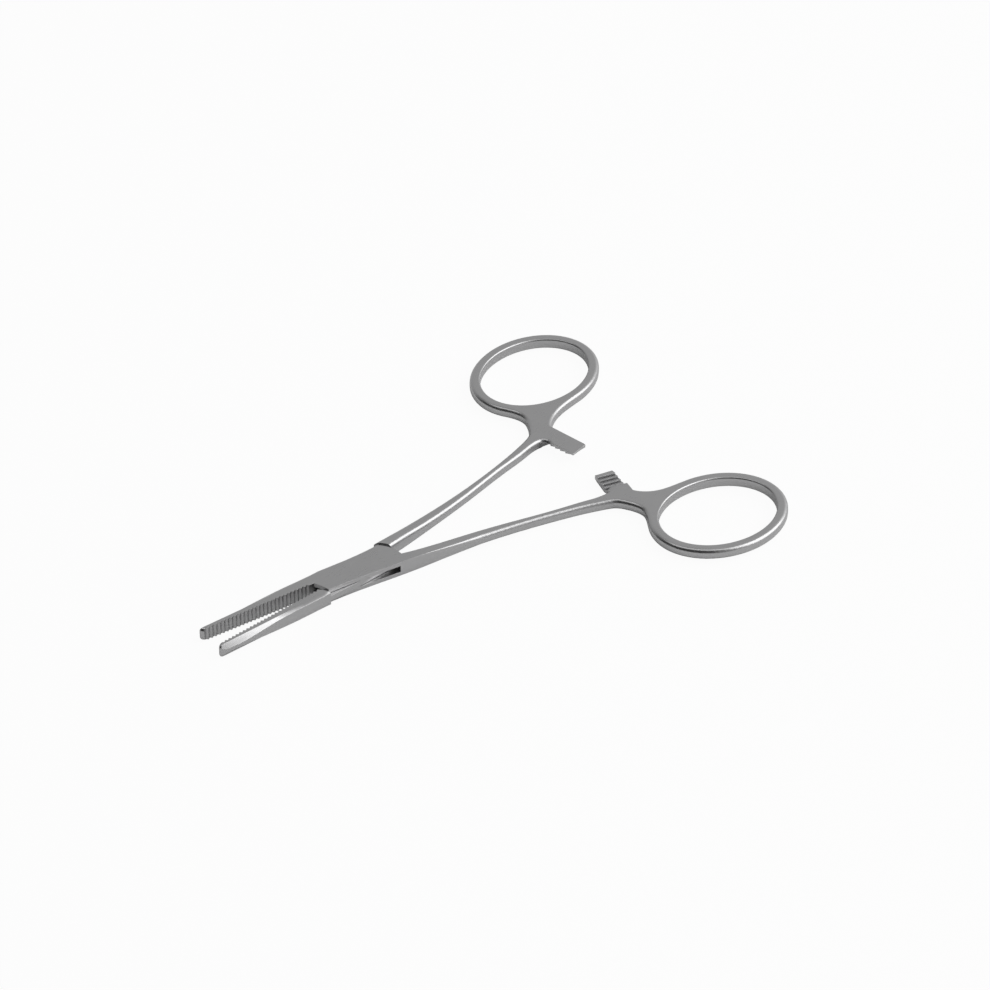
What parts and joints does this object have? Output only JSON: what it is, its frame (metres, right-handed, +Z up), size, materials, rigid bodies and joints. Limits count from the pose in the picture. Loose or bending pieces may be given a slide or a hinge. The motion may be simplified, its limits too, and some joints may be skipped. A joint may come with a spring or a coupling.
{
  "type": "hemostatic forceps",
  "caption": "Straight stainless artery forceps with a box joint, cross-serrated jaws, ratchet arms and oval finger rings, lying part open.",
  "frame": {"origin": "on the joint pin's axis, at the underside of the box joint, where the forceps rests", "axes": "+Z up along the joint pin, +X along the middle line from the joint to the finger rings (the longest extent), +Y to the side of the male half's ring"},
  "size_m": [0.1231, 0.0874, 0.0034],
  "materials": {
    "satin_steel_female": "satin, fine grinding marks along each limb",
    "satin_steel_male": "satin, fine grinding marks along each limb",
    "pin_steel": "ground flush with the box plates"
  },
  "bodies": {
    "female": {"female_half": "satin_steel_female", "pivot_pin": "pin_steel"},
    "male": {"male_half": "satin_steel_male"}
  },
  "joints": [
    {"name": "box_joint", "type": "hinge", "parent": "female", "child": "male", "pos_m": [0, 0, 0.0017], "axis": [0, 0, 1], "range_deg": [-8, 60]}
  ]
}
